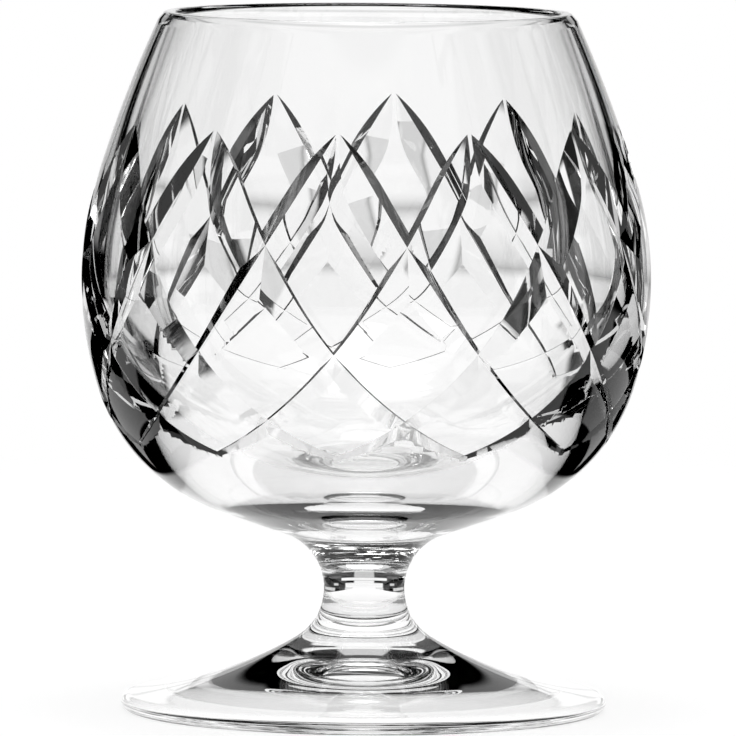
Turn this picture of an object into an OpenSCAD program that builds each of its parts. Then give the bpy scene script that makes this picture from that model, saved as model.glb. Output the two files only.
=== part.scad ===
// Brandy snifter in cut crystal: a blown bowl, a short drawn stem and a cast foot,
// fused to each other at flat joints. Millimetres, +Z up, standing on z = 0.
// Profiles are drawn with x as the radius and y as the height, and turned about the axis.

/* [Foot] */
// Diameter of the foot
foot_d = 83.4; // [72:0.2:96]
// Height of the joint between foot and stem above the table
foot_h = 15.8; // [14:0.1:19]
// Thickness of the round edge of the foot
edge_t = 3.0; // [2:0.1:4.4]
// Radius of the hollow curve that spreads from the stem to the edge
spread_arc = 68; // [50:1:110]
// Width of the flat ring that the glass stands on, without the round edge
rest_w = 7; // [4:0.1:10]
// Height of the hollow under the foot, at its middle
hollow_h = 5.5; // [3:0.1:6.5]

/* [Stem] */
// Length of the stem, from the foot's joint to the bowl's joint
stem_h = 11.8; // [9.5:0.1:16]
// Diameter at the narrowest place
waist_d = 13.9; // [11:0.1:17]
// Height of the narrowest place above the foot's joint, as a share of the stem's length
waist_share = 0.44; // [0.38:0.01:0.5]
// How far the stem widens on each side towards the bowl, as a share of the length above the narrowest place
flare_share = 0.379; // [0.33:0.001:0.45]

/* [Bowl] */
// Height of the bowl, from the joint with the stem to the rim
bowl_h = 92.4; // [80:0.2:106]
// Largest outer diameter
belly_d = 97.6; // [86:0.2:112]
// Height of the largest diameter above the joint, as a share of the bowl's height
belly_share = 0.502; // [0.47:0.002:0.54]
// Outer diameter at the rim, as a share of the largest diameter
rim_share = 0.7235; // [0.66:0.0005:0.79]
// Radius of the side's curve at the largest diameter, as a share of one plain arc from there to the rim
belly_arc_share = 0.716; // [0.66:0.002:0.8]
// Radius of the gentle curve from the belly up to the rim, as a share of the same plain arc
wall_arc_share = 2.58; // [1.8:0.02:3.6]
// Radius of the tighter curve under the belly, as a share of the largest diameter's height
heel_arc_share = 0.711; // [0.67:0.001:0.73]
// Drop from the largest diameter to the centre of that tighter curve, as a share of the same height
heel_drop_share = 0.179; // [0.15:0.001:0.2]
// Thickness of the glass at the rim
rim_t = 2.2; // [1.6:0.1:3]
// Thickness of the glass at the largest diameter
belly_t = 3.8; // [3.2:0.1:5]
// Thickness of the glass at the bottom, over the joint
base_t = 10.5; // [8:0.1:12]
// How much the middle of the floor lies below its edge
floor_dip = 0.8; // [0.4:0.1:1.6]
// Bevel ground on both edges of the rim
rim_bevel = 0.3; // [0.1:0.05:0.6]

/* [Cut pattern] */
// Number of cuts in each direction round the bowl
cut_count = 12; // [8:1:14]
// Repeats of the pattern that one cut runs across
cut_repeats = 2; // [1.5:0.5:2.5]
// Depth of a cut at its join, just under the largest diameter
cut_depth = 1.45; // [1.2:0.05:1.7]
// Depth that is left at a cut's lower end
cut_low_depth = 0.25; // [0.1:0.05:0.5]
// Angle between the two faces of a cut
cut_angle = 104; // [90:2:118]
// Drop from the rim to the upper points of the pattern, as a share of the height from the belly to the rim
tip_share = 0.404; // [0.34:0.002:0.48]
// Drop from the largest diameter to the join of a cut's lower arc and middle arc
join_drop = 2; // [0:0.2:4]
// Share of its turn round the bowl that a cut makes from its upper point to the join
join_share = 0.375; // [0.34:0.005:0.41]
// Angle by which a cut dips into the glass at the join, on its way up
cut_dip = 4; // [3:0.5:5]
// Height of a cut's shoulder, where it turns out to its upper point, as a share of the way from the join
shoulder_share = 0.67; // [0.63:0.005:0.71]
// Depth of a cut at its shoulder
shoulder_depth = 2; // [1.8:0.05:2.2]
// Drop from the largest diameter to the lower points of the pattern, as a share of that diameter's height
low_share = 0.586; // [0.48:0.002:0.62]
// Turn by which each cut runs on past its end points, so that pairs truly cross there
cross_turn = 1.2; // [0.6:0.2:2]
// Turn of the whole pattern from the front
pattern_turn = -6.5; // [-15:0.5:15]

/* [Hidden] */
$fn = 180;
glass = [0.87, 0.91, 0.93];

// Curves that run together overlap by this much, so that each pair meets in one clear crossing.
overlap = 0.005;
// Room by which a cutting shape stands clear of what it cuts
clear = 2;

bowl_z = foot_h + stem_h;
rim_z = bowl_z + bowl_h;
belly_up = bowl_h * belly_share;
belly_z = bowl_z + belly_up;
waist_z = foot_h + stem_h * waist_share;
reach = max(belly_d, foot_d);

function unit(v) = v / norm(v);

// One of the two points where two circles cross. The side, 1 or -1, picks which.
function crossing(c1, r1, c2, r2, side) =
    let (
        gap = norm(c2 - c1),
        u = unit(c2 - c1),
        along = (gap^2 + r1^2 - r2^2) / (2 * gap),
        across = sqrt(r1^2 - along^2)
    )
    c1 + along * u + side * across * [-u.y, u.x];

// Distance between the centres of a circle and a smaller one that lies against its inside.
function nested(large, small) = large - small + overlap;

// The one plain arc that would run from the largest diameter straight to the rim
rim_p = [belly_d * rim_share / 2, rim_z];
wall_h = rim_z - belly_z;
narrowing = belly_d / 2 - rim_p.x;
plain_arc = (wall_h^2 + narrowing^2) / (2 * narrowing);

// Outer curves of the bowl
belly_arc = plain_arc * belly_arc_share;
wall_arc = plain_arc * wall_arc_share;
heel_arc = belly_up * heel_arc_share;
heel_drop = belly_up * heel_drop_share;
belly_c = [belly_d / 2 - belly_arc, belly_z];
wall_c = crossing(belly_c, nested(wall_arc, belly_arc), rim_p, wall_arc, 1);
heel_z = belly_z - heel_drop;
heel_c = [belly_c.x + sqrt(nested(belly_arc, heel_arc)^2 - heel_drop^2), heel_z];
wall_start = (wall_c + wall_arc * unit(belly_c - wall_c)).y;
heel_start = (belly_c + belly_arc * unit(heel_c - belly_c)).y;

// Inner curves of the bowl
belly_in = belly_arc - belly_t;
rim_in_p = rim_p - [rim_t, 0];
wall_in_c = crossing(belly_c, nested(wall_arc, belly_in), rim_in_p, wall_arc, 1);
wall_in_start = (wall_in_c + wall_arc * unit(belly_c - wall_in_c)).y;
floor_z = bowl_z + base_t;
heel_in = belly_z - floor_z - floor_dip;
heel_in_c = [belly_c.x + nested(belly_in, heel_in), belly_z];
floor_arc = (heel_in_c.x^2 + (belly_z - floor_z)^2 - heel_in^2) / (2 * floor_dip) + overlap;
floor_c = [0, floor_z + floor_arc];
floor_end = (floor_c + floor_arc * unit(heel_in_c - floor_c)).x;

// Curve of the waist, from the foot through the stem to the underside of the bowl
waist_r = waist_d / 2;
flare_h = bowl_z - waist_z;
flare = flare_h * flare_share;
waist_arc = (flare_h^2 + flare^2) / (2 * flare);
waist_c = [waist_r + waist_arc, waist_z];

// Straight slope under the bowl, which touches the waist's curve and the heel's curve
slope_gap = norm(heel_c - waist_c);
slope_dir = unit(heel_c - waist_c);
slope_cos = (waist_arc + heel_arc - 2 * overlap) / slope_gap;
slope_sin = sqrt(1 - slope_cos^2);
slope_n = slope_cos * slope_dir + slope_sin * [-slope_dir.y, slope_dir.x];
slope_low = waist_c + (waist_arc - overlap) * slope_n;
slope_high = heel_c - (heel_arc - overlap) * slope_n;

// Edge and hollow of the foot
edge_r = edge_t / 2;
edge_c = [foot_d / 2 - edge_r, edge_r - overlap];
spread_c = crossing(waist_c, nested(spread_arc, waist_arc), edge_c, spread_arc + edge_r - overlap, 1);
spread_start = (spread_c + spread_arc * unit(waist_c - spread_c)).x;
hollow_r = edge_c.x - rest_w;
hollow_arc = (hollow_r^2 + hollow_h^2) / (2 * hollow_h);

// Outer surface of the bowl at a height: its curve, radius and outward direction
function outer_centre(y) = y > wall_start ? wall_c : y < heel_start ? heel_c : belly_c;
function outer_arc(y) = y > wall_start ? wall_arc : y < heel_start ? heel_arc : belly_arc;
function outer_r(y) = outer_centre(y).x + sqrt(outer_arc(y)^2 - (y - outer_centre(y).y)^2);
function outer_n(y) = ([outer_r(y), y] - outer_centre(y)) / outer_arc(y);

// A profile's point, or direction, turned about the axis into space
function spun(p, turn) = [p.x * cos(turn), p.x * sin(turn), p.y];
function on_bowl(y, depth, turn) = spun([outer_r(y), y] - depth * outer_n(y), turn);

// Path of one cut: three arcs in one plane, which run smoothly into each other at the join and the shoulder.
// The last one ends at the surface, as a cutting wheel leaves it, and the lower one just under it.
cut_step = 360 / cut_count;
cut_turn = cut_step * cut_repeats;
join_z = belly_z - join_drop;
join_turn = cut_turn * join_share;
tip_z = rim_z - wall_h * tip_share;
tip_p = on_bowl(tip_z, 0, -cross_turn);
face_p = on_bowl(join_z, 0, join_turn);
low_p = on_bowl(belly_z - belly_up * low_share, cut_low_depth, cut_turn + cross_turn);
plane_n = unit(cross(face_p - tip_p, low_p - tip_p));
face_up = unit(cross(spun(outer_n(join_z), join_turn), plane_n));
face_out = cross(plane_n, face_up);
cut_up = cos(cut_dip) * face_up - sin(cut_dip) * face_out;
cut_out = cos(cut_dip) * face_out + sin(cut_dip) * face_up;
join_p = face_p - cut_depth * cut_out;
cut_side = cross(cut_out, cut_up);

// Turn at which the plane of the cut passes a profile's point
function plane_turn(p) =
    atan2(plane_n.y, plane_n.x)
    - acos((face_p * plane_n - p.y * plane_n.z) / (p.x * norm([plane_n.x, plane_n.y])));
shoulder_z = join_z + (tip_z - join_z) * shoulder_share;
shoulder_at = [outer_r(shoulder_z), shoulder_z] - shoulder_depth * outer_n(shoulder_z);

// Places in the plane of the cut, measured from the join
function in_plane(p) = [(p - join_p) * cut_out, (p - join_p) * cut_up];
function arc_to(q) = round(-50 * (q * q) / q.x) / 100;
function sweep_to(q) = atan2(abs(q.y), arc_to(q) + q.x);
low_q = in_plane(low_p);
shoulder_q = in_plane(spun(shoulder_at, plane_turn(shoulder_at)));
mid_arc = arc_to(shoulder_q);
mid_sweep = sweep_to(shoulder_q);
// The upper point as seen from the shoulder, and the wheel that the cut leaves the glass by
shoulder_out = [cos(mid_sweep), sin(mid_sweep)];
tip_way = in_plane(tip_p) - mid_arc * (shoulder_out - [1, 0]);
tip_q = [tip_way * shoulder_out, tip_way * [-shoulder_out.y, shoulder_out.x]];
wheel_r = -arc_to(tip_q);
wheel_sweep = atan2(tip_q.y, wheel_r - tip_q.x);
// Turn by which the wheel runs on into the air past the upper point
run_out = 2;
// Height of the cutting wheel's edge that takes part
wheel_h = 3.5;

module bowl_outline() {
    intersection() {
        translate([0, bowl_z]) square([reach, bowl_h]);
        union() {
            intersection() {
                translate(belly_c) circle(belly_arc);
                translate([0, heel_start]) square([reach, reach]);
            }
            intersection() {
                translate(wall_c) circle(wall_arc);
                translate([0, wall_start]) square([reach, reach]);
            }
            translate(heel_c) circle(heel_arc);
            difference() {
                polygon([[0, bowl_z], [waist_c.x, bowl_z], slope_low, slope_high, heel_c, [0, heel_z]]);
                translate(waist_c) circle(waist_arc);
            }
        }
    }
}

module bowl_inside() {
    intersection() {
        translate([0, bowl_z]) square([reach, bowl_h + clear]);
        union() {
            intersection() {
                translate(belly_c) circle(belly_in);
                translate([0, belly_z]) square([reach, reach]);
            }
            intersection() {
                translate(wall_in_c) circle(wall_arc);
                translate([0, wall_in_start]) square([reach, reach]);
            }
            translate(heel_in_c) circle(heel_in);
            intersection() {
                translate(floor_c) circle(floor_arc);
                translate([0, bowl_z]) square([floor_end, heel_z - bowl_z]);
            }
        }
    }
}

// Bevel on one edge of the rim. The side is 1 for the outer edge and -1 for the inner one.
module rim_edge(p, side) {
    top = p.y + clear;
    near = p.x - side * (rim_bevel + clear);
    far = p.x + side * clear;
    polygon([[near, top], [far, top], [far, p.y - rim_bevel - clear]]);
}

module bowl_profile() {
    difference() {
        bowl_outline();
        bowl_inside();
        rim_edge(rim_p, 1);
        rim_edge(rim_in_p, -1);
    }
}

// Wedge of the wheel's edge, with its point at the origin and its back along a side, 1 or -1
module wheel_edge(side) {
    half_w = wheel_h * tan(cut_angle / 2);
    polygon([[0, 0], [side * wheel_h, -half_w], [side * wheel_h, half_w]]);
}

// Part of the ring that the wheel's edge sweeps along an arc of the path that bends with the bowl
module wheel_arc(radius, start, sweep) {
    translate([-radius, 0, 0])
        rotate_extrude(angle = sweep, start = start)
            translate([radius, 0]) wheel_edge(1);
}

// Part of the wheel itself, where the cut bends away from the bowl and leaves the glass
module wheel_end() {
    sweep = wheel_sweep + run_out;
    translate([wheel_r, 0, 0])
        rotate_extrude(angle = sweep, start = 180 - sweep)
            translate([wheel_r, 0]) wheel_edge(-1);
}

module cut() {
    frame = [for (i = [0:2]) [cut_out[i], cut_up[i], cut_side[i], join_p[i]]];
    multmatrix([frame[0], frame[1], frame[2], [0, 0, 0, 1]]) {
        wheel_arc(arc_to(low_q), -sweep_to(low_q), sweep_to(low_q));
        wheel_arc(mid_arc, 0, mid_sweep);
        translate([-mid_arc, 0, 0]) rotate([0, 0, mid_sweep]) translate([mid_arc, 0, 0]) wheel_end();
    }
}

module round_the_bowl() {
    for (i = [0:cut_count - 1])
        rotate([0, 0, pattern_turn - 90 + i * cut_step]) children();
}

module bowl() {
    color(glass)
        difference() {
            difference() {
                rotate_extrude() bowl_profile();
                round_the_bowl() cut();
            }
            round_the_bowl() mirror([0, 1, 0]) cut();
        }
}

module stem() {
    color(glass)
        rotate_extrude()
            difference() {
                translate([0, foot_h]) square([waist_c.x, stem_h]);
                translate(waist_c) circle(waist_arc);
            }
}

module foot() {
    color(glass)
        rotate_extrude()
            difference() {
                intersection() {
                    square([reach, foot_h]);
                    union() {
                        square([edge_c.x, foot_h]);
                        translate(edge_c) circle(edge_r);
                    }
                }
                translate(waist_c) circle(waist_arc);
                intersection() {
                    translate(spread_c) circle(spread_arc);
                    translate([spread_start, 0]) square([reach, reach]);
                }
                translate([0, hollow_h - hollow_arc]) circle(hollow_arc);
            }
}

bowl();
stem();
foot();
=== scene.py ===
"""A cut-crystal brandy snifter on a white studio floor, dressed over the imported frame."""

import math
from collections import namedtuple

import bmesh
import bpy
import numpy as np
from mathutils import Matrix, Vector


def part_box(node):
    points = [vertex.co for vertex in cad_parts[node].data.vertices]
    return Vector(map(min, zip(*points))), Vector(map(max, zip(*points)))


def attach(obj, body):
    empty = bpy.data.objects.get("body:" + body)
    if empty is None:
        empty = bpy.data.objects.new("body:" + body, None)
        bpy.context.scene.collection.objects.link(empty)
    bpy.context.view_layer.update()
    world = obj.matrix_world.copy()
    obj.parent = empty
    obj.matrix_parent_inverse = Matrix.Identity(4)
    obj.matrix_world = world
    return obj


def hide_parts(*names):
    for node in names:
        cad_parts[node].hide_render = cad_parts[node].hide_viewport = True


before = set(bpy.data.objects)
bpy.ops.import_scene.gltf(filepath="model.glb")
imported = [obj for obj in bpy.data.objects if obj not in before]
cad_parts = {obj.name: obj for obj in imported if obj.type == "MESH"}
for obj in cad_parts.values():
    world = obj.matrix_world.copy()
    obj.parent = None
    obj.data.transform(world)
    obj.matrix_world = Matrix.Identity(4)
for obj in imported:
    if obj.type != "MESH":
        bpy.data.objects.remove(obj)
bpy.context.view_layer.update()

MM = 0.001
NEAR = 1e-9

# Sizes read from the frame, in metres: the joints, the rim and the foot
foot_low, foot_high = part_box("foot")
stem_low, stem_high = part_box("stem")
bowl_low, bowl_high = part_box("bowl")
FOOT_JOINT = foot_high[2]
BOWL_JOINT = bowl_low[2]
RIM_Z = bowl_high[2]
FOOT_R = foot_high[0]
STEM_TOP_R = stem_high[0]

# Curves of the glass, as in the construction
BELLY_R = 48.8 * MM
BELLY_Z = BOWL_JOINT + 46.385 * MM
BELLY_ARC = 61.01 * MM
RIM_R = 35.307 * MM
WALL_ARC = 219.84 * MM
HEEL_ARC = 32.98 * MM
HEEL_DROP = 8.3 * MM
RIM_T = 2.2 * MM
BELLY_T = 3.8 * MM
BASE_T = 10.5 * MM
FLOOR_DIP = 0.8 * MM
WAIST_R = 6.95 * MM
WAIST_Z = FOOT_JOINT + 5.2 * MM
EDGE_ROUND = 1.5 * MM
SPREAD_ARC = 68 * MM
REST_W = 7 * MM
HOLLOW_H = 5.5 * MM

# Round lip, where the construction has a bevel, and how far in its two arcs lie, as shares of their radius
LIP_ROUND = 0.6 * MM
LIP_OUTER = 1.25
LIP_INNER = 0.75

# Cut pattern, as in the construction
CUT_COUNT = 12
CUT_REPEATS = 2
CUT_DEPTH = 1.45 * MM
CUT_LOW_DEPTH = 0.25 * MM
CUT_ANGLE = math.radians(104)
TIP_DROP = 18.59 * MM
JOIN_DROP = 2 * MM
JOIN_SHARE = 0.375
CUT_DIP = math.radians(4)
SHOULDER_SHARE = 0.67
SHOULDER_DEPTH = 2.0 * MM
LOW_DROP = 27.18 * MM
CROSS_TURN = math.radians(1.2)
RUN_OUT = math.radians(2)
WHEEL_H = 3.5 * MM
PATTERN_TURN = math.radians(-6.5)
FRONT = math.radians(-90)

# The turn by which the cuts end short of meeting at the points, where the construction lets them cross
TIP_GAP = math.radians(0.5)

# Fineness of the meshes
ROUND_STEPS = 384
PROFILE_STEP = 1.1 * MM
LIP_STEP = 0.1 * MM
CUT_STEPS = 60
SLIVER = 0.002 * MM
FLOOR_STEPS = 128
SHARP = math.radians(20)

# Crystal: the size and height of its waves, and its greatest roughness
Finish = namedtuple("Finish", "wave_size wave_height roughest")
BLOWN = Finish(18 * MM, 0.012 * MM, 0.02)
GROUND = Finish(2.5 * MM, 0.0015 * MM, 0.03)
GLASS_IOR = 1.545
WAVE_DETAIL = 1
POLISH_SCALE = 90
POLISH_DETAIL = 4
WHITE = (1, 1, 1, 1)

# Photograph's frame and viewing angle
FRAME_PX = 736
PX_PER_MM = 5.83
CAMERA_DISTANCE = 1.93
CAMERA_HEIGHT = 0.21
FRAME_CENTRE_Z = 58.9 * MM
FRAME_CENTRE_X = 0.4 * MM
CAMERA_ROLL = math.radians(0.4)
SENSOR_MM = 36

# Studio. A light or a painted glow fills the space between two turns, in degrees on either side from
# straight behind, and between two heights in degrees or, on the floor, two distances from the axis in
# metres. None leaves an end open. The camera and the glass both show the backdrop and the floor's sheet,
# which fill the camera's frame. Beyond it the glass shows the windows, and light painted on the floor that
# only the glass sees: its bright patches stand in for lights and its unlit parts for dark cards.
Light = namedtuple("Light", "turns reach level")
BACKDROP = {
    "low": Light((None, 30), (None, -4), 1.0),
    "middle": Light((None, 20), (-4, 4), 1.0),
}
WINDOWS = {
    "back_middle": Light((None, 10), (4, 8), 1.0),
    "back_bar": Light((None, 25), (8, 13), 1.0),
    "back_high": Light((None, 10), (13, 32), 0.55),
    "slits": Light((30, 38), (0, 4), 0.7),
    "flaps": Light((25, 46), (13, 18), 0.1),
    "sides": Light((75, 105), (None, 8), 1.0),
    "front": Light((105, None), (None, 55), 0.3),
    "top": Light((None, None), (55, None), 0.8),
}
# Light painted on the floor, which only the glass sees: bright patches stand in for lights, and unlit parts
# stand in for dark cards.
FLOOR_PAINTED_LIGHT = {
    "side_painted_glow": Light((75, 105), (0.08, 0.12), 0.5),
    "far_strip": Light((None, 12), (0.15, None), 1.0),
    "far_wings": Light((12, 20), (0.12, None), 0.75),
    "far_sides": Light((35, 75), (0.12, 0.3), 0.7),
    "far_flanks": Light((75, 105), (0.3, None), 1.0),
    "far_front": Light((105, None), (0.08, None), 0.95),
}
HEIGHT_SOFT = 1.0
TURN_SOFT = 1.0
FLOOR_SOFT = 0.002
SHEET_HALF = FRAME_PX / PX_PER_MM / 2 * MM
SHEET_FRONT = 38 * MM
FLOOR_R = 0.5
FLOOR_COLOUR = (0.3, 0.3, 0.3, 1)
FLOOR_LEVEL = 0.8
LAMP_SIZE = 0.8
LAMP_ENERGY = 5
LAMP_Z = 1.0

POLISHED, CUT, JOINT = range(3)


def unit(v):
    return v / np.linalg.norm(v)


def angle_of(v):
    return math.atan2(v[1], v[0])


def crossing(c1, r1, c2, r2):
    """The crossing of two circles that lies to the left of the way from the first to the second."""
    gap = np.linalg.norm(c2 - c1)
    u = (c2 - c1) / gap
    along = (gap**2 + r1**2 - r2**2) / (2 * gap)
    across = math.sqrt(r1**2 - along**2)
    return c1 + along * u + across * np.array([-u[1], u[0]])


def arc(centre, radius, start, end, step=PROFILE_STEP):
    """Points of an arc from one angle to another, both ends included."""
    count = max(2, math.ceil(abs(end - start) * radius / step))
    angles = np.linspace(start, end, count + 1)
    return [centre + radius * np.array([math.cos(a), math.sin(a)]) for a in angles]


# Centres of the bowl's curves, in radius and height
belly_c = np.array([BELLY_R - BELLY_ARC, BELLY_Z])
rim_p = np.array([RIM_R, RIM_Z])
wall_c = crossing(belly_c, WALL_ARC - BELLY_ARC, rim_p, WALL_ARC)
heel_z = BELLY_Z - HEEL_DROP
heel_c = np.array([belly_c[0] + math.sqrt((BELLY_ARC - HEEL_ARC) ** 2 - HEEL_DROP**2), heel_z])
belly_in = BELLY_ARC - BELLY_T
rim_in_p = rim_p - np.array([RIM_T, 0])
wall_in_c = crossing(belly_c, WALL_ARC - belly_in, rim_in_p, WALL_ARC)
floor_z = BOWL_JOINT + BASE_T
heel_in = BELLY_Z - floor_z - FLOOR_DIP
heel_in_c = np.array([belly_c[0] + belly_in - heel_in, BELLY_Z])
floor_arc = (heel_in_c[0] ** 2 + (BELLY_Z - floor_z) ** 2 - heel_in**2) / (2 * FLOOR_DIP)
floor_c = np.array([0, floor_z + floor_arc])

# Centres of the waist's, the underside's and the foot's curves
flare = STEM_TOP_R - WAIST_R
waist_arc = ((BOWL_JOINT - WAIST_Z) ** 2 + flare**2) / (2 * flare)
waist_c = np.array([WAIST_R + waist_arc, WAIST_Z])
slope_dir = unit(heel_c - waist_c)
slope_cos = (waist_arc + HEEL_ARC) / np.linalg.norm(heel_c - waist_c)
slope_sin = math.sqrt(1 - slope_cos**2)
slope_n = slope_cos * slope_dir + slope_sin * np.array([-slope_dir[1], slope_dir[0]])
edge_c = np.array([FOOT_R - EDGE_ROUND, EDGE_ROUND])
spread_c = crossing(waist_c, SPREAD_ARC - waist_arc, edge_c, SPREAD_ARC + EDGE_ROUND)
hollow_r = edge_c[0] - REST_W
hollow_arc = (hollow_r**2 + HOLLOW_H**2) / (2 * HOLLOW_H)
hollow_c = np.array([0, HOLLOW_H - hollow_arc])

wall_turn = angle_of(belly_c - wall_c)
heel_turn = angle_of(heel_c - belly_c)
wall_start = (wall_c + WALL_ARC * unit(belly_c - wall_c))[1]
heel_start = (belly_c + BELLY_ARC * unit(heel_c - belly_c))[1]


def waist_turn(z):
    """Angle about the waist's centre at which its curve passes a height."""
    return math.pi - math.asin((z - WAIST_Z) / waist_arc)


def lip_points():
    """The rim's round lip: two small arcs and the flat between them."""
    outer_c = rim_p + LIP_ROUND * np.array([-LIP_OUTER, -1])
    inner_c = rim_in_p + LIP_ROUND * np.array([LIP_INNER, -1])
    lean = angle_of(rim_p - wall_c)
    lean_in = math.pi + angle_of(rim_in_p - wall_in_c)
    top = math.pi / 2
    return arc(outer_c, LIP_ROUND, lean, top, LIP_STEP) + arc(inner_c, LIP_ROUND, top, lean_in, LIP_STEP)


def bowl_profile():
    outside = arc(waist_c, waist_arc, waist_turn(BOWL_JOINT), angle_of(slope_n))
    outside += arc(heel_c, HEEL_ARC, angle_of(-slope_n), heel_turn)
    outside += arc(belly_c, BELLY_ARC, heel_turn, wall_turn)[1:]
    lip = lip_points()
    outside += arc(wall_c, WALL_ARC, wall_turn, angle_of(lip[0] - wall_c))[1:-1]
    wall_in_turn = angle_of(belly_c - wall_in_c)
    floor_turn = angle_of(heel_in_c - floor_c)
    inside = arc(wall_in_c, WALL_ARC, angle_of(lip[-1] - wall_in_c), wall_in_turn)[1:]
    inside += arc(belly_c, belly_in, wall_in_turn, 0)[1:]
    inside += arc(heel_in_c, heel_in, 0, floor_turn)[1:]
    inside += arc(floor_c, floor_arc, floor_turn, -math.pi / 2)[1:]
    return [np.array([0, BOWL_JOINT])] + outside + lip + inside


def stem_profile():
    side = arc(waist_c, waist_arc, waist_turn(FOOT_JOINT), waist_turn(BOWL_JOINT))
    return [np.array([0, FOOT_JOINT])] + side + [np.array([0, BOWL_JOINT])]


def foot_profile():
    under = arc(hollow_c, hollow_arc, math.pi / 2, math.acos(hollow_r / hollow_arc))
    spread_turn = angle_of(edge_c - spread_c)
    edge_end = angle_of(spread_c - edge_c)
    waist_end = angle_of(waist_c - spread_c) % (2 * math.pi)
    edge = arc(edge_c, EDGE_ROUND, -math.pi / 2, edge_end, LIP_STEP)
    top = arc(spread_c, SPREAD_ARC, spread_turn % (2 * math.pi), waist_end)[1:]
    neck = arc(waist_c, waist_arc, waist_end, waist_turn(FOOT_JOINT))[1:]
    return under + edge + top + neck + [np.array([0, FOOT_JOINT])]


def revolve(name, profile, joints):
    """A closed mesh turned from a profile that starts and ends on the axis, with its joint faces marked."""
    profile = [np.array([0.0, p[1]]) if abs(p[0]) < NEAR else p for p in profile]
    verts = []
    rings = []
    for r, z in profile:
        first = len(verts)
        if r == 0:
            verts.append((0, 0, z))
            rings.append([first] * ROUND_STEPS)
            continue
        for i in range(ROUND_STEPS):
            a = 2 * math.pi * i / ROUND_STEPS
            verts.append((r * math.cos(a), r * math.sin(a), z))
        rings.append(range(first, first + ROUND_STEPS))
    faces = []
    kinds = []
    for (low, high), (p, q) in zip(zip(rings, rings[1:]), zip(profile, profile[1:])):
        flat = any(max(abs(p[1] - z), abs(q[1] - z)) < NEAR for z in joints)
        for i in range(ROUND_STEPS):
            j = (i + 1) % ROUND_STEPS
            corners = [low[i], low[j], high[j], high[i]]
            faces.append(list(dict.fromkeys(corners)))
            kinds.append(JOINT if flat else POLISHED)
    mesh = bpy.data.meshes.new(name)
    mesh.from_pydata(verts, [], faces)
    mesh.polygons.foreach_set("material_index", kinds)
    return mesh


def outer_curve(z):
    if z > wall_start:
        return wall_c, WALL_ARC
    if z < heel_start:
        return heel_c, HEEL_ARC
    return belly_c, BELLY_ARC


def outer_r(z):
    centre, radius = outer_curve(z)
    return centre[0] + math.sqrt(radius**2 - (z - centre[1]) ** 2)


def outer_n(z):
    centre, radius = outer_curve(z)
    return (np.array([outer_r(z), z]) - centre) / radius


def spun(p, turn):
    return np.array([p[0] * math.cos(turn), p[0] * math.sin(turn), p[1]])


def on_bowl(z, depth, turn):
    return spun(np.array([outer_r(z), z]) - depth * outer_n(z), turn)


def arc_steps(start, outward, ahead, end, past=0):
    """Points and outward directions of an arc that sets off ahead from its start and passes its end."""
    q = np.array([(end - start) @ outward, (end - start) @ ahead])
    radius = -(q @ q) / (2 * q[0])
    side = math.copysign(1, radius)
    sweep = side * (math.atan2(q[1], side * (radius + q[0])) + past)
    for a in np.linspace(0, sweep, CUT_STEPS + 1):
        turned = math.cos(a) * outward + math.sin(a) * ahead
        yield start + radius * (turned - outward), turned


def cut_sections():
    """Cross-sections of one cut along its three arcs, from its lower end to past its upper point."""
    turn = 2 * math.pi / CUT_COUNT * CUT_REPEATS
    join_z = BELLY_Z - JOIN_DROP
    tip_z = RIM_Z - TIP_DROP
    tip = on_bowl(tip_z, 0, TIP_GAP)
    face = on_bowl(join_z, 0, turn * JOIN_SHARE)
    low = on_bowl(BELLY_Z - LOW_DROP, CUT_LOW_DEPTH, turn + CROSS_TURN)
    plane_n = unit(np.cross(face - tip, low - tip))
    face_up = unit(np.cross(spun(outer_n(join_z), turn * JOIN_SHARE), plane_n))
    face_out = np.cross(plane_n, face_up)
    out = math.cos(CUT_DIP) * face_out + math.sin(CUT_DIP) * face_up
    up = np.cross(out, plane_n)
    join = face - CUT_DEPTH * out
    shoulder_z = join_z + (tip_z - join_z) * SHOULDER_SHARE
    p = np.array([outer_r(shoulder_z), shoulder_z]) - SHOULDER_DEPTH * outer_n(shoulder_z)
    level = (face @ plane_n - p[1] * plane_n[2]) / (p[0] * math.hypot(plane_n[0], plane_n[1]))
    shoulder = spun(p, angle_of(plane_n) - math.acos(level))

    lower = list(arc_steps(join, out, -up, low))
    middle = list(arc_steps(join, out, up, shoulder))
    place, turned = middle[-1]
    upper = list(arc_steps(place, turned, np.cross(turned, plane_n), tip, RUN_OUT))
    half_w = WHEEL_H * math.tan(CUT_ANGLE / 2)
    sections = []
    for apex, outward in lower[::-1] + middle[1:] + upper[1:]:
        wing = apex + WHEEL_H * outward
        sections.append([apex, wing - half_w * plane_n, wing + half_w * plane_n])
    return np.array(sections)


def cutting_mesh(name, mirrored):
    """All cuts of one family, as closed wedges round the bowl."""
    sections = cut_sections()
    if mirrored:
        sections = sections * np.array([1, -1, 1])
    bm = bmesh.new()
    for i in range(CUT_COUNT):
        turn = Matrix.Rotation(FRONT + PATTERN_TURN + 2 * math.pi * i / CUT_COUNT, 4, "Z")
        rows = [[bm.verts.new(turn @ Vector(p)) for p in section] for section in sections]
        for row, following in zip(rows, rows[1:]):
            for j in range(3):
                k = (j + 1) % 3
                bm.faces.new((row[j], row[k], following[k], following[j]))
        bm.faces.new(rows[0])
        bm.faces.new(rows[-1])
    bmesh.ops.recalc_face_normals(bm, faces=bm.faces)
    for face in bm.faces:
        face.material_index = CUT
    mesh = bpy.data.meshes.new(name)
    bm.to_mesh(mesh)
    bm.free()
    return mesh


def add_object(mesh, materials):
    for material in materials:
        mesh.materials.append(material)
    ob = bpy.data.objects.new(mesh.name, mesh)
    bpy.context.scene.collection.objects.link(ob)
    return ob


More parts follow.
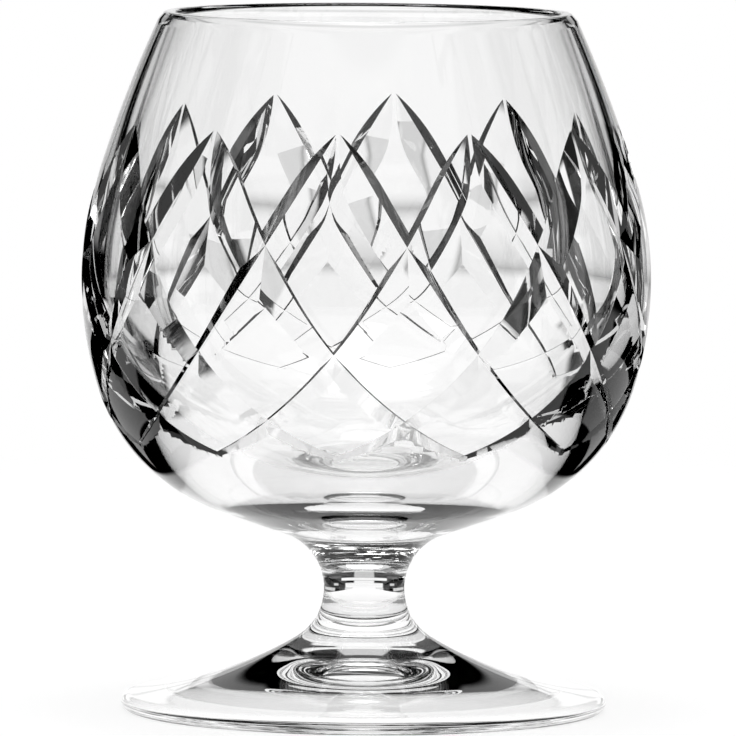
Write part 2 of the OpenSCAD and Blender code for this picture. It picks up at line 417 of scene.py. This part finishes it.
def cut_bowl(bowl, materials):
    """Cuts both families of grooves into the bowl, one after the other, and takes the slivers away."""
    for name, mirrored in (("right_cuts", False), ("left_cuts", True)):
        cutter = add_object(cutting_mesh(name, mirrored), materials)
        groove = bowl.modifiers.new(name, "BOOLEAN")
        groove.operation = "DIFFERENCE"
        groove.solver = "MANIFOLD"
        groove.object = cutter
        whole = bpy.context.evaluated_depsgraph_get()
        mesh = bpy.data.meshes.new_from_object(bowl.evaluated_get(whole))
        bowl.modifiers.clear()
        bowl.data = mesh
        bpy.data.objects.remove(cutter)
    bm = bmesh.new()
    bm.from_mesh(bowl.data)
    bmesh.ops.dissolve_degenerate(bm, dist=SLIVER, edges=bm.edges)
    bm.to_mesh(bowl.data)
    bm.free()


def smooth_normals(ob):
    """Smooth shading that keeps the sharp edges."""
    mesh = ob.data
    mesh.polygons.foreach_set("use_smooth", [True] * len(mesh.polygons))
    mesh.set_sharp_from_angle(angle=SHARP)


def new_material(name):
    material = bpy.data.materials.new(name)
    material.use_nodes = True
    tree = material.node_tree
    return material, tree, tree.nodes["Principled BSDF"]


def crystal(name, finish):
    """Clear lead crystal with a faint waviness and an uneven polish."""
    material, tree, shader = new_material(name)
    nodes, links = tree.nodes, tree.links
    shader.inputs["Base Color"].default_value = WHITE
    shader.inputs["IOR"].default_value = GLASS_IOR
    shader.inputs["Transmission Weight"].default_value = 1
    place = nodes.new("ShaderNodeTexCoord")
    wave = nodes.new("ShaderNodeTexNoise")
    wave.inputs["Scale"].default_value = 1 / finish.wave_size
    wave.inputs["Detail"].default_value = WAVE_DETAIL
    bump = nodes.new("ShaderNodeBump")
    bump.inputs["Distance"].default_value = finish.wave_height
    bump.inputs["Strength"].default_value = 1
    polish = nodes.new("ShaderNodeTexNoise")
    polish.inputs["Scale"].default_value = POLISH_SCALE
    polish.inputs["Detail"].default_value = POLISH_DETAIL
    grade = nodes.new("ShaderNodeMapRange")
    grade.inputs["To Min"].default_value = 0
    grade.inputs["To Max"].default_value = finish.roughest
    links.new(place.outputs["Object"], wave.inputs["Vector"])
    links.new(place.outputs["Object"], polish.inputs["Vector"])
    links.new(wave.outputs["Fac"], bump.inputs["Height"])
    links.new(bump.outputs["Normal"], shader.inputs["Normal"])
    links.new(polish.outputs["Fac"], grade.inputs["Value"])
    links.new(grade.outputs["Result"], shader.inputs["Roughness"])
    return material


def fused_joint():
    """The inside of a fused joint, where the glass goes on without a surface."""
    material, tree, shader = new_material("fused_joint")
    clear = tree.nodes.new("ShaderNodeBsdfTransparent")
    tree.nodes.remove(shader)
    tree.links.new(clear.outputs["BSDF"], tree.nodes["Material Output"].inputs["Surface"])
    return material


def glass_pieces():
    materials = [crystal("crystal_polished", BLOWN), crystal("crystal_cut", GROUND), fused_joint()]
    bowl = add_object(revolve("glass_bowl", bowl_profile(), [BOWL_JOINT]), materials)
    cut_bowl(bowl, materials)
    stem = add_object(revolve("glass_stem", stem_profile(), [FOOT_JOINT, BOWL_JOINT]), materials)
    foot = add_object(revolve("glass_foot", foot_profile(), [FOOT_JOINT]), materials)
    for piece, node in ((bowl, "bowl"), (stem, "stem"), (foot, "foot")):
        smooth_normals(piece)
        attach(piece, "root")
        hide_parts(node)


class Wiring:
    """Adds maths nodes to a tree and links them, one call to a node."""

    def __init__(self, tree):
        self.nodes = tree.nodes
        self.links = tree.links

    def feed(self, socket, value):
        if isinstance(value, bpy.types.NodeSocket):
            self.links.new(value, socket)
        else:
            socket.default_value = value

    def maths(self, operation, *values):
        node = self.nodes.new("ShaderNodeMath")
        node.operation = operation
        for socket, value in zip(node.inputs, values):
            self.feed(socket, value)
        return node.outputs["Value"]

    def step(self, value, dark, lit):
        """A soft step from nothing at the dark end to one at the lit end."""
        node = self.nodes.new("ShaderNodeMapRange")
        node.interpolation_type = "SMOOTHSTEP"
        for name, setting in (("Value", value), ("From Min", dark), ("From Max", lit)):
            self.feed(node.inputs[name], setting)
        return node.outputs["Result"]

    def axes(self, vector):
        """The vector's parts and its turn from straight behind, in degrees."""
        split = self.nodes.new("ShaderNodeSeparateXYZ")
        self.links.new(vector, split.inputs["Vector"])
        x, y, z = (split.outputs[name] for name in "XYZ")
        turn = self.maths("ARCTAN2", self.maths("ABSOLUTE", x), y)
        return x, y, z, self.maths("DEGREES", turn)

    def lit(self, lights, turn, reach, reach_soft):
        """The level of the brightest light, or of the brightest painted glow on the floor, at a turn and a
        height or distance.
        """
        whole = 0.0
        for light in lights.values():
            level = light.level
            for value, ends, soft in ((turn, light.turns, TURN_SOFT), (reach, light.reach, reach_soft)):
                for end, inward in zip(ends, (1, -1)):
                    if end is not None:
                        edge = self.step(value, end - inward * soft, end + inward * soft)
                        level = self.maths("MULTIPLY", level, edge)
            whole = self.maths("MAXIMUM", whole, level)
        return whole

    def background(self, place):
        """One where a ray shows the white background: the camera's everywhere, the glass's at a place."""
        path = self.nodes.new("ShaderNodeLightPath")
        glass = self.maths("MAXIMUM", path.outputs["Is Glossy Ray"], path.outputs["Is Transmission Ray"])
        return self.maths("MAXIMUM", path.outputs["Is Camera Ray"], self.maths("MULTIPLY", glass, place))


def studio_floor():
    """A pale floor with a soft shadow. Beyond the sheet the glass alone sees light painted on the floor in
    its place, with bright patches standing in for lights and unlit parts for dark cards.
    """
    bm = bmesh.new()
    bmesh.ops.create_circle(bm, cap_ends=True, segments=FLOOR_STEPS, radius=FLOOR_R)
    mesh = bpy.data.meshes.new("studio_floor")
    bm.to_mesh(mesh)
    bm.free()
    material, tree, shader = new_material("white_floor")
    nodes, links = tree.nodes, tree.links
    nodes.remove(shader)
    wiring = Wiring(tree)
    place = nodes.new("ShaderNodeTexCoord")
    x, y, _, turn = wiring.axes(place.outputs["Object"])
    squares = wiring.maths("MULTIPLY_ADD", x, x, wiring.maths("MULTIPLY", y, y))
    far = wiring.maths("SQRT", squares)
    # Painted light on the floor for the glass's rays beyond the sheet: glowing patches in place of lights,
    # and black in place of dark cards.
    painted_glow = nodes.new("ShaderNodeEmission")
    links.new(wiring.lit(FLOOR_PAINTED_LIGHT, turn, far, FLOOR_SOFT), painted_glow.inputs["Strength"])
    matt = nodes.new("ShaderNodeBsdfDiffuse")
    matt.inputs["Color"].default_value = FLOOR_COLOUR
    pale = nodes.new("ShaderNodeEmission")
    pale.inputs["Strength"].default_value = FLOOR_LEVEL
    both = nodes.new("ShaderNodeAddShader")
    links.new(matt.outputs["BSDF"], both.inputs[0])
    links.new(pale.outputs["Emission"], both.inputs[1])
    side = wiring.maths("ABSOLUTE", x)
    across = wiring.step(side, SHEET_HALF + FLOOR_SOFT, SHEET_HALF - FLOOR_SOFT)
    along = wiring.step(y, -SHEET_FRONT - FLOOR_SOFT, FLOOR_SOFT - SHEET_FRONT)
    sheet = wiring.maths("MULTIPLY", across, along)
    mix = nodes.new("ShaderNodeMixShader")
    links.new(wiring.background(sheet), mix.inputs["Fac"])
    links.new(painted_glow.outputs["Emission"], mix.inputs[1])
    links.new(both.outputs["Shader"], mix.inputs[2])
    links.new(mix.outputs["Shader"], nodes["Material Output"].inputs["Surface"])
    floor = add_object(mesh, [material])


def studio_world():
    """The windows and cards that the glass shows, and plain white for the camera."""
    world = bpy.data.worlds.new("studio")
    bpy.context.scene.world = world
    world.use_nodes = True
    nodes, links = world.node_tree.nodes, world.node_tree.links
    wiring = Wiring(world.node_tree)
    place = nodes.new("ShaderNodeTexCoord")
    _, _, z, turn = wiring.axes(place.outputs["Generated"])
    height = wiring.maths("DEGREES", wiring.maths("ARCSINE", z))
    level = wiring.lit(WINDOWS, turn, height, HEIGHT_SOFT)
    direct = wiring.background(wiring.lit(BACKDROP, turn, height, HEIGHT_SOFT))
    white = wiring.maths("MULTIPLY_ADD", level, wiring.maths("SUBTRACT", 1, direct), direct)
    links.new(white, nodes["Background"].inputs["Strength"])
    nodes["Background"].inputs["Color"].default_value = WHITE


def studio_lamp():
    lamp = bpy.data.lights.new("softbox", "AREA")
    lamp.shape = "DISK"
    lamp.size = LAMP_SIZE
    lamp.energy = LAMP_ENERGY
    ob = bpy.data.objects.new("softbox", lamp)
    ob.location = (0, 0, LAMP_Z)
    bpy.context.scene.collection.objects.link(ob)


def camera():
    data = bpy.data.cameras.new("camera")
    data.sensor_width = SENSOR_MM
    target = Vector((FRAME_CENTRE_X, 0, FRAME_CENTRE_Z))
    place = Vector((FRAME_CENTRE_X, -CAMERA_DISTANCE, CAMERA_HEIGHT))
    far = (target - place).length
    data.lens = SENSOR_MM * far / (FRAME_PX / PX_PER_MM * MM)
    ob = bpy.data.objects.new("camera", data)
    ob.location = place
    aim = (target - place).to_track_quat("-Z", "Y").to_matrix().to_4x4()
    ob.rotation_euler = (aim @ Matrix.Rotation(CAMERA_ROLL, 4, "Z")).to_euler()
    bpy.context.scene.collection.objects.link(ob)
    bpy.context.scene.camera = ob


camera()
glass_pieces()
studio_floor()
studio_world()
studio_lamp()
bpy.context.scene.view_settings.view_transform = "Standard"
